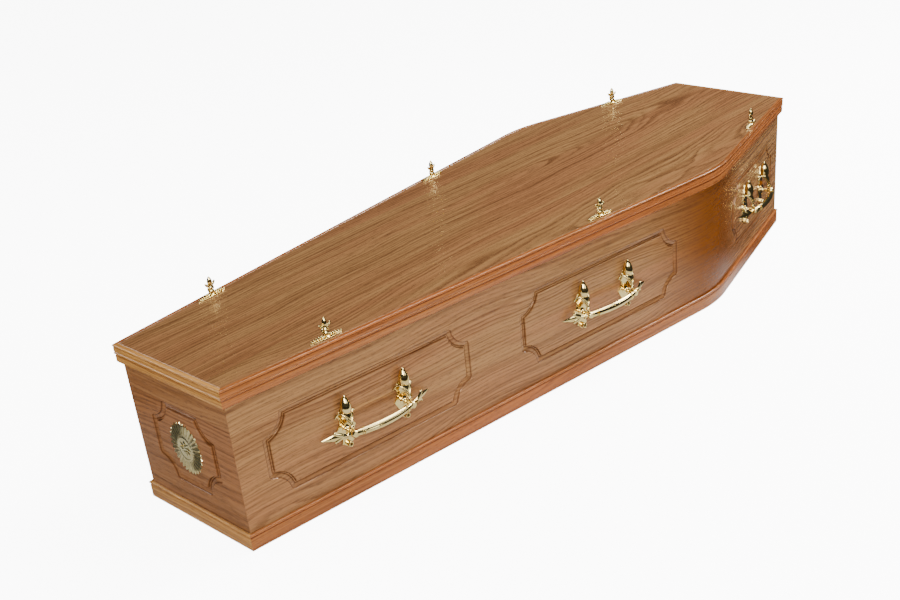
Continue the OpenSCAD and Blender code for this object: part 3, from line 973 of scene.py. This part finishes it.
def bail_bar():
    angles = [-BAR_A + 2 * BAR_A * i / BAR_STEPS for i in range(BAR_STEPS + 1)]

    def section(i):
        t = abs(angles[i]) / BAR_A
        deep, tall = in_mm(6.6 - 0.9 * t * t, 8.3 - 1.3 * t * t)
        ring = []
        for j in range(AROUND_BAR):
            a = 2 * math.pi * j / AROUND_BAR
            # Reeds run along the bar, and fade out towards the knuckles
            groove = 0.5 + 0.5 * math.cos(REEDS * a + math.pi)
            k = 1 - REED_DEPTH * groove * (1 - t ** 4)
            ring.append((deep * k * math.cos(a), tall * k * math.sin(a)))
        return ring

    return sweep([on_bow(a) for a in angles], section)


print("bow radius %.0f mm" % (BOW_R / MM))


# %% Bail with its collars, knuckles and spears
def collar(r, w):
    """A bevelled ring on the bar."""
    half = [(0, w / 2), (r * 0.85, w / 2), (r, w / 4)]
    return lathe([(x, -z) for x, z in half] + half[::-1])


def spear():
    """The outer end: a pointed leaf with a hook above it and one below, behind a round collar."""
    shape = petal([(4, 0, 0), (28, 0, 0), (50, 0, 0), (71.5, 0, 0)],
                  [4.8, 4.6, 5.6, 8.0, 6.2, 3.4, 0], [3.2, 3.2, 3.0, 3.0, 2.6, 1.8, 0])
    for d in (-1, 1):
        shape.join(petal([(24, 0, d), (34, 0, d * 5.5), (40, 0, d * 10.5), (39, 0, d * 14)],
                         [4.8, 5.6, 4.8, 2.4, 0], [3.0, 3.4, 3.0, 1.8, 0]))
    shape.join(lathe([(0, -1.5), (5.8, -1.4), (6.3, 0), (5.8, 1.4), (0, 1.5)], 24),
               moved(14, 0, 0) @ turned(90, "Y"))
    return shape


def bail():
    shape = bail_bar()
    for a, w, r in ((BAR_A * 0.77, 2.6, 8.6), (BAR_A * 0.83, 1.8, 7.6)):
        for s in (-1, 1):
            across = Matrix.Rotation(-s * a, 4, "Z") @ turned(90, "Y")
            shape.join(collar(r, w), Matrix.Translation(on_bow(s * a)) @ across)
    knuckle = lathe([(0, -8)] + arc(0, 0, 8.8, -65, 36, 12) + [(6.4, 6.2), (0, 6.6)])
    # The spears lean back, towards the board
    lean = Matrix.Rotation(-math.atan2(26, 67), 4, "Z")
    for s in (-1, 1):
        at = Matrix.Translation((s * SPACING / 2, KNUCKLE_OUT, 0)) @ Matrix.Diagonal((s, 1, 1, 1))
        shape.join(knuckle, at @ turned(-90, "X"))
        shape.join(spear(), at @ lean)
    return shape


bail_shape = bail()
print("bail:", len(bail_shape.faces), "faces")

# %% [markdown]
# ## Brackets
# A pointed backplate is screwed to the board. A post goes out from it to the knuckle, and above that
# stands a bud in a cup of three sepals. A knob with a drilled end closes the plate at the bottom.


# %% Plates and buds
def plate(outline, thick, bevel):
    """A flat plate with a bevelled front edge, its back at y = 0. outline is (x, z) in millimetres."""
    thick, bevel = in_mm(thick, bevel)
    work = bmesh.new()
    verts = [work.verts.new((x, 0, z)) for x, z in points_mm(outline)]
    face = work.faces.new(verts)
    grown = bmesh.ops.extrude_face_region(work, geom=[face])
    for v in grown["geom"]:
        if isinstance(v, bmesh.types.BMVert):
            v.co.y = thick
    front = [f for f in work.faces if all(v.co.y > thick / 2 for v in f.verts)]
    edges = [e for f in front for e in f.edges]
    bmesh.ops.bevel(work, geom=edges, offset=bevel, segments=3, profile=0.6, affect="EDGES",
                    clamp_overlap=True)
    bmesh.ops.triangulate(work, faces=[f for f in work.faces if len(f.verts) > 4])
    shape = Shape()
    numbers = {v: shape.add(v.co) for v in work.verts}
    shape.faces = [tuple(numbers[v] for v in f.verts) for f in work.faces]
    work.free()
    return shape


BUD_STEPS, AROUND_BUD = 18, 32
# 2 would make the bud round, and 1 would give it four flat faces
BUD_ROUND = 1.75
BUD_PROFILE = [(0.72, 0, 0), (0.92, 0, 0.12), (1.0, 0, 0.28), (0.94, 0, 0.46), (0.72, 0, 0.68),
               (0.36, 0, 0.88), (0.0, 0, 1.0)]


def bud(r, height):
    """A pointed bud with four faces, its foot at z = 0 and a ridge to the front."""
    r, height = in_mm(r, height)
    shape = Shape()
    rows = []
    for p in curve(BUD_PROFILE, BUD_STEPS)[:-1]:
        row = []
        for j in range(AROUND_BUD):
            a = 2 * math.pi * j / AROUND_BUD
            k = (abs(math.cos(a)) ** BUD_ROUND + abs(math.sin(a)) ** BUD_ROUND) ** (-1 / BUD_ROUND)
            row.append(shape.add((r * p.x * k * math.cos(a), r * p.x * k * math.sin(a), height * p.z)))
        rows.append(row)
    rows.append([shape.add((0, 0, height))])
    shape.rings(rows)
    shape.faces.append(tuple(rows[0]))
    return shape


# %% Cup of sepals
# The wall's section, as (part of the way up, bulge in millimetres), up the outside and down the inside
CUP_OUTSIDE = [(0.0, 0.0), (0.35, 1.6), (0.7, 1.3), (1.0, 0.0)]
CUP_INSIDE = [(1.0, -1.0), (0.5, 0.2), (0.0, -1.0)]


def calyx():
    """The cup under the bud: three pointed sepals, one to the ball in front and one to each side of the
    plate. The rim arches up between them, and has two beads."""
    rim = curve([(0, 23.5, 13), (-3.5, 21.5, 23), (-8, 16, 35), (-12.5, 9.5, 42), (-17.5, 5, 41),
                 (-23, 2.5, 34)], 24)
    bud_foot = [(x, y, 45.0) for x, y in arc(0, 12, 8.6, 90, 215, 24)]
    shape = Shape()
    rows, edge_bead, upper_bead = [], [], []
    for low, top in zip(rim, bud_foot):
        low, top = Vector(low), Vector(top)
        away = Vector((low.x, low.y - 10, 0)).normalized() * 1.3
        rows.append([low.lerp(top, part) + away * bulge for part, bulge in CUP_OUTSIDE + CUP_INSIDE])
        edge_bead.append((low + away * 0.3) * MM)
        upper_bead.append((low.lerp(top, 0.30) + away * 1.7) * MM)
    for side in (1, -1):
        # The inside of the cup is never polished, and is darkened with painted shade
        dull_and_shaded = [0.0] * len(CUP_OUTSIDE) + [0.75] * len(CUP_INSIDE)
        numbers = [[shape.add((side * p.x * MM, p.y * MM, p.z * MM), recess=stain_and_shade)
                    for p, stain_and_shade in zip(row, dull_and_shaded)] for row in rows]
        for a, b in zip(numbers, numbers[1:]):
            shape.strip(a, b, closed=True)
        shape.faces += [tuple(numbers[0]), tuple(numbers[-1])]
        for path, r in ((edge_bead, 2.1), (upper_bead, 1.7)):
            ring = circle(r * MM, 10)
            mirrored = [Vector((side * q.x, q.y, q.z)) for q in path]
            shape.join(sweep(mirrored, lambda i: ring, up=Vector((0.3, 1, 0.2))))
    return shape


# %% Bracket
BACKPLATE = [
    (0, 66), (3, 59), (7, 51), (10, 45), (13, 41), (18, 39.5), (22, 38), (19, 34), (15.5, 29), (14.5, 22),
    (16, 15), (20, 8), (24, 3), (21, -3), (17, -10), (14, -16), (12, -22), (14, -27), (15, -31), (10, -33),
    (5, -38), (0, -43)]
POST = [(0, 2.6), (10, 2.6), (10, 3.8), (8.6, 4.6), (7.0, 5), (5, 7), (4.4, 10), (4.4, 18), (5.4, 20),
        (5.4, 21.6), (0, 21.7)]
KNOB = [(0, 2.6), (6.0, 2.6), (6.2, 6), (5.9, 10), (5.2, 11.9), (4.0, 12.2), (3.4, 11.2), (3.2, 6.4),
        (0, 6.2)]


def bracket():
    """The bracket on the foot side of a handle. X runs towards the other bracket."""
    out = turned(-90, "X")
    shape = plate(BACKPLATE + [(-x, z) for x, z in reversed(BACKPLATE[1:-1])], 2.9, 0.9)
    shape.join(lathe(POST), out)
    shape.join(calyx())
    # The bud leans back a little towards the board
    shape.join(bud(12.2, 39), moved(0, 12.6, 41) @ turned(4, "X"))
    shape.join(ball(4.6), moved(0, 23, 12.2))
    knob = lathe(KNOB, 24)
    # The drilled hole is darkened with painted shade
    hole_r, hole_foot = in_mm(3.6, 6)
    knob.recess = [1.0 if p.xy.length < hole_r and p.z > hole_foot else 0.0 for p in knob.points]
    shape.join(knob, moved(0, 0, -33) @ out)
    return shape


bracket_shape = bracket()
print("bracket:", len(bracket_shape.faces), "faces")

# %% Handles in their places
for side in SIDES:
    for place in PLACES:
        wall, (start, length) = WALLS[place]
        at = ON_SIDE[side] @ wall @ Matrix.Translation((start + length / 2, 0, HANDLE_Z))
        piece(f"bail_{side}_{place}", bail_shape, brass, "brass", f"handle_bail_{side}_{place}",
              matrix=at, smooth=40)
        for k, sign in (("a", 1), ("b", -1)):
            there = at @ Matrix.Diagonal((sign, 1, 1, 1)) @ Matrix.Translation((-SPACING / 2, 0, 0))
            piece(f"bracket_{side}_{place}_{k}", bracket_shape, brass, "brass",
                  f"handle_bracket_{side}_{place}_{k}", matrix=there, smooth=40)
print("handles made")

# %% [markdown]
# ## Lid screws
# A thumb screw stands on a narrow ribbed plate near the edge of the lid. Its head is a small
# three-petalled flower, which gives the fingers something to turn.

# %% Screw plate
SCREW_PLATE_END = [(-38, 0), (-35, 2.2), (-32, 4.4), (-20, 5.2), (-9, 6.5)]


def screw_plate():
    half = SCREW_PLATE_END + [(-x, y) for x, y in reversed(SCREW_PLATE_END)]
    outline = half + [(x, -y) for x, y in reversed(half[1:-1])]
    shape = Shape().join(plate(outline, 2.4, 0.7), turned(90, "X"))
    # Ribs across the plate, smaller towards its ends
    narrow = Matrix.Diagonal((0.46, 1.0, 1.15, 1))
    for d in (-1, 1):
        for i, r in enumerate((5.8, 5.3, 4.8, 4.1, 3.2)):
            shape.join(ball(r, 8), moved(d * (10.5 + 6.0 * i), 0, 2.2) @ narrow)
    # The ribs' lower halves would stand in the lid
    shape.points = [Vector((p.x, p.y, max(p.z, 0))) for p in shape.points]
    return shape


# %% Thumb screw
SHANK = [(0, 0), (6.4, 0), (6.6, 1.4), (5.4, 2.4), (4.3, 3.4), (4.2, 4.6), (5.6, 6.0), (6.7, 8.2),
         (6.6, 10.4), (5.2, 12.4), (4.3, 13.8), (5.3, 15.0), (5.9, 16.8), (5.4, 18.6), (4.0, 20.0),
         (3.4, 21.6), (3.2, 25.0), (0, 25.2)]
LEAF_FOOT, BUD_FOOT = 20.5, 24.0


def thumb_screw():
    """A turned shank, two pairs of curled side leaves and a pointed bud."""
    shape = lathe(SHANK, 28)
    rising = ([(1.5, 0), (5.5, 2.0), (9.5, 3.6), (12.2, 7.2), (11.6, 9.6)],
              [3.4, 3.6, 3.0, 2.2, 0], [3.0, 3.2, 2.8, 2.0, 0])
    fallen = ([(3.0, -1.0), (6.4, -3.0), (8.0, -7.0), (7.6, -10.5)],
              [2.2, 2.2, 1.8, 1.4, 0], [2.0, 2.0, 1.6, 1.2, 0])
    for d in (-1, 1):
        for points, width, thick in (rising, fallen):
            shape.join(petal([(d * x, 0, LEAF_FOOT + z) for x, z in points], width, thick, ridge=0.2))
    shape.join(bud(5.8, 18.4), moved(0, 0, BUD_FOOT))
    return shape


# %% Screws in their places
screw_shape, plate_shape = thumb_screw(), screw_plate()
for side in SIDES:
    for place in PLACES:
        wall = WALLS[place][0]
        s = SCREW_S[place] if SCREW_S[place] > 0 else FLANK_LEN + SCREW_S[place]
        at = ON_SIDE[side] @ wall @ Matrix.Translation((s, -WALL_T / 2, TOP_Z))
        piece(f"screw_base_{side}_{place}", plate_shape, brass, "brass", f"screw_plate_{side}_{place}",
              matrix=at, smooth=40)
        piece(f"thumb_screw_{side}_{place}", screw_shape, brass, "brass", f"lid_screw_{side}_{place}",
              matrix=at @ moved(0, 0, 2.5), smooth=40)
print("lid screws made")

# %% [markdown]
# ## End plaques
# An oval plaque of stamped brass: folded rays round the edge, a plain rim and a small rosette. The press
# folds the sheet, so the rays are one surface that rises and falls, with painted shade in its folds.

# %% End plaques
PLAQUE_HALF_W, PLAQUE_HALF_H = in_mm(50, 59)
RAYS, RAY_STEPS = 30, 8
# Rings from the edge to the middle field: (part of the full size, height, fold), the last two in
# millimetres
PLAQUE_RINGS = [
    (1.0, 0.0, 0.0), (1.0, 0.9, 0.0), (0.985, 1.5, 0.5), (0.90, 2.2, 1.3), (0.78, 2.7, 1.3),
    (0.66, 3.0, 1.0), (0.54, 3.1, 0.6), (0.46, 3.2, 0.0), (0.44, 3.7, 0.0), (0.42, 3.8, 0.0),
    (0.40, 3.2, 0.0), (0.30, 3.3, 0.0)]


def rayed_oval():
    shape = Shape()
    n = RAYS * RAY_STEPS
    rows = [[shape.add((0, 0, 0))]]
    for size, height, fold in PLAQUE_RINGS:
        row = []
        for i in range(n):
            t = 2 * math.pi * i / n
            # 1 on a ray, and 0 between two
            ray = abs((i % RAY_STEPS) / RAY_STEPS * 2 - 1)
            # Only the outer rings have a toothed edge
            k = size * (1 - 0.13 * (1 - ray)) if size > 0.75 else size
            lift = max(height + fold * (2 * ray - 1), 0) * MM
            # Darker between the rays: painted shade in the folds
            row.append(shape.add((PLAQUE_HALF_W * k * math.cos(t), lift, PLAQUE_HALF_H * k * math.sin(t)),
                                 recess=0.6 * (1 - ray) * min(fold, 1)))
        rows.append(row)
    rows.append([shape.add((0, 3.6 * MM, 0))])
    shape.rings(rows)
    return shape


def plaque():
    shape = rayed_oval()
    # Rosette: two rings of petals round a domed centre
    for count, reach, size, lift, turn in ((8, 21, 3.0, 3.3, 0.0), (6, 13, 2.6, 4.0, 0.26)):
        for i in range(count):
            t = 2 * math.pi * (i / count) + turn
            line = [(r * math.cos(t), y, r * math.sin(t))
                    for r, y in ((2, lift), (reach * 0.6, lift + 0.7), (reach, lift - 0.6))]
            shape.join(petal(line, [1.0, size, size * 1.2, size * 0.6, 0], [0.5, 0.9, 0.8, 0.5, 0], n=10))
    shape.join(lathe([(5, 3.2), (4.4, 4.3), (2.6, 4.85), (0, 5.0)], 24), turned(-90, "X"))
    return shape


plaque_shape = plaque()
middle = Matrix.Translation((0, 0, (PANEL_Z + PANEL_TOP) / 2))
for end in ENDS:
    piece("plaque_" + end, plaque_shape, brass_stamped, "brass", "end_ornament_" + end,
          matrix=END_WALLS[end][0] @ middle, smooth=25)
print("plaque:", len(plaque_shape.faces), "faces")

# %% [markdown]
# ## Base board
# The bottom is plain board that nobody sees, so it's left without veneer or lacquer. The solid is right
# as it is, and only gets a material: pressed flakes, with slow patches of colour.


# %% Base board
def board_material():
    mat, tree, bsdf = new_material("plain_base_board")
    m = Maths(tree)
    place = new_node(tree, "ShaderNodeTexCoord", (-900, 0)).outputs["Object"]
    flakes = new_node(tree, "ShaderNodeTexVoronoi", (-400, 0), feature="F1")
    tree.links.new(place, flakes.inputs["Vector"])
    flakes.inputs["Scale"].default_value = 420.0
    flake, cloud = flakes.outputs["Distance"], m.noise(place, 9.0, 4.0, 0.6)
    part = m("ADD", m("MULTIPLY", flake, 0.5), m("MULTIPLY", cloud, 0.5))
    tree.links.new(m.mix(part, (0.34, 0.23, 0.13), (0.22, 0.135, 0.07)), bsdf.inputs["Base Color"])
    tree.links.new(m("ADD", 0.6, m("MULTIPLY", cloud, 0.2)), bsdf.inputs["Roughness"])
    add_bump(tree, bsdf, flake, 0.3, 0.0005)
    return mat


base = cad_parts["base_board"]
base.data.materials.clear()
base.data.materials.append(board_material())
print("base board:", base.data.materials[0].name)

# %% [markdown]
# ## Floor
# A product is shot on a sheet of white paper. Lights alone can't make the paper white all over without
# bleaching the wood, so it also glows a little where the camera sees it, and only there.
# Seen in the brass and the lacquer, the floor is bright beside the coffin and dark farther out, like
# white cards with black flags behind them, which gives polished metal its contrast.

# %% Floor
FLOOR_HALF = 14.0
PAPER = (0.93, 0.93, 0.93)
GLOW = 9.0


def studio_floor():
    mat = bpy.data.materials.new("studio_floor")
    mat.use_nodes = True
    tree = mat.node_tree
    m = Maths(tree)
    paper = tree.nodes["Principled BSDF"]
    paper.inputs["Base Color"].default_value = (*PAPER, 1)
    paper.inputs["Roughness"].default_value = 0.9
    place = new_node(tree, "ShaderNodeSeparateXYZ")
    tree.links.new(new_node(tree, "ShaderNodeTexCoord").outputs["Object"], place.inputs[0])
    # An oval round the coffin, in metres: brightness 0.54 inside it, and almost none outside
    along = m("DIVIDE", m("ADD", place.outputs[0], 0.35), 1.15)
    aside = m("DIVIDE", m("ADD", place.outputs[1], 0.10), 0.95)
    ring = m("ADD", m("MULTIPLY", along, along), m("MULTIPLY", aside, aside))
    flag = new_node(tree, "ShaderNodeBsdfDiffuse")
    card = m("SUBTRACT", 0.54, m("MULTIPLY", m.step(ring, 0.55, 1.05), 0.525))
    tree.links.new(card, flag.inputs["Color"])
    rays = new_node(tree, "ShaderNodeLightPath")
    glow = new_node(tree, "ShaderNodeEmission")
    tree.links.new(m("MULTIPLY", rays.outputs["Is Camera Ray"], GLOW), glow.inputs["Strength"])
    lit = new_node(tree, "ShaderNodeAddShader")
    tree.links.new(paper.outputs[0], lit.inputs[0])
    tree.links.new(glow.outputs[0], lit.inputs[1])
    choose = new_node(tree, "ShaderNodeMixShader")
    tree.links.new(rays.outputs["Is Glossy Ray"], choose.inputs[0])
    tree.links.new(lit.outputs[0], choose.inputs[1])
    tree.links.new(flag.outputs[0], choose.inputs[2])
    tree.links.new(choose.outputs[0], tree.nodes["Material Output"].inputs["Surface"])
    return mat


floor_mesh = bpy.data.meshes.new("floor")
corners = [(x * FLOOR_HALF, y * FLOOR_HALF, 0) for x, y in ((-1, -1), (1, -1), (1, 1), (-1, 1))]
floor_mesh.from_pydata(corners, [], [(0, 1, 2, 3)])
floor_mesh.materials.append(studio_floor())
floor = bpy.data.objects.new("floor", floor_mesh)
bpy.context.scene.collection.objects.link(floor)
print("floor %.0f m wide" % (2 * FLOOR_HALF))

# %% [markdown]
# ## Light
# Large square lights are softboxes. The key lights the near side and the foot, the top light the lid,
# and the head light the far end, where the lid goes out of the key's reach. The world is a white
# backdrop to look at, and dark as a light and in reflections.


# %% Lights
def area_light(name, place, aim, size, power, colour=(1, 1, 1)):
    data = bpy.data.lights.new(name, "AREA")
    data.energy = power
    data.size = size
    data.color = colour
    obj = bpy.data.objects.new(name, data)
    obj.location = place
    obj.rotation_euler = (Vector(aim) - Vector(place)).to_track_quat("-Z", "Y").to_euler()
    bpy.context.scene.collection.objects.link(obj)


area_light("key", (-3.0, -2.8, 2.5), (0, 0, 0.2), 1.7, 198, (1.0, 0.98, 0.95))
area_light("top", (1.1, -0.9, 3.2), (0.7, 0, 0), 2.0, 142)
area_light("fill", (-0.4, -3.8, 2.0), (-0.2, 0, 0.2), 1.4, 30)
area_light("back", (-2.6, 3.6, 2.6), (0, 0, 0.2), 1.6, 90)
area_light("head", (3.2, -0.9, 2.9), (0.8, 0, 0.3), 1.4, 185)
print("lights:", [light.name for light in bpy.data.lights])

# %% Backdrop
world = bpy.data.worlds.new("studio")
world.use_nodes = True
backdrop = world.node_tree.nodes["Background"]
backdrop.inputs["Color"].default_value = (0.95, 0.97, 1.0, 1)
sky = Maths(world.node_tree)
seen = new_node(world.node_tree, "ShaderNodeLightPath").outputs["Is Camera Ray"]
sky.put(backdrop.inputs["Strength"], sky("ADD", 0.05, sky("MULTIPLY", seen, GLOW)))
bpy.context.scene.world = world
print("backdrop:", world.name)

# %% [markdown]
# ## Camera
# The camera stands above the foot's left corner and looks along the lid. Its place and the directions
# to its right and up say all about it, and the shift moves the frame up without tilting the camera.

# %% Camera
camera_data = bpy.data.cameras.new("camera")
camera_data.lens = 50.0
camera_data.sensor_width = 36.0
camera_data.shift_y = 0.111
camera = bpy.data.objects.new("camera", camera_data)
right = Vector((0.67826, -0.72891, -0.09304))
up = Vector((0.41699, 0.27754, 0.86550))
turn = Matrix((right, up, right.cross(up))).transposed().to_4x4()
camera.matrix_world = Matrix.Translation((-2.0632, -1.8859, 1.4171)) @ turn
bpy.context.scene.collection.objects.link(camera)
bpy.context.scene.camera = camera
print("camera at", [round(v, 2) for v in camera.matrix_world.translation])
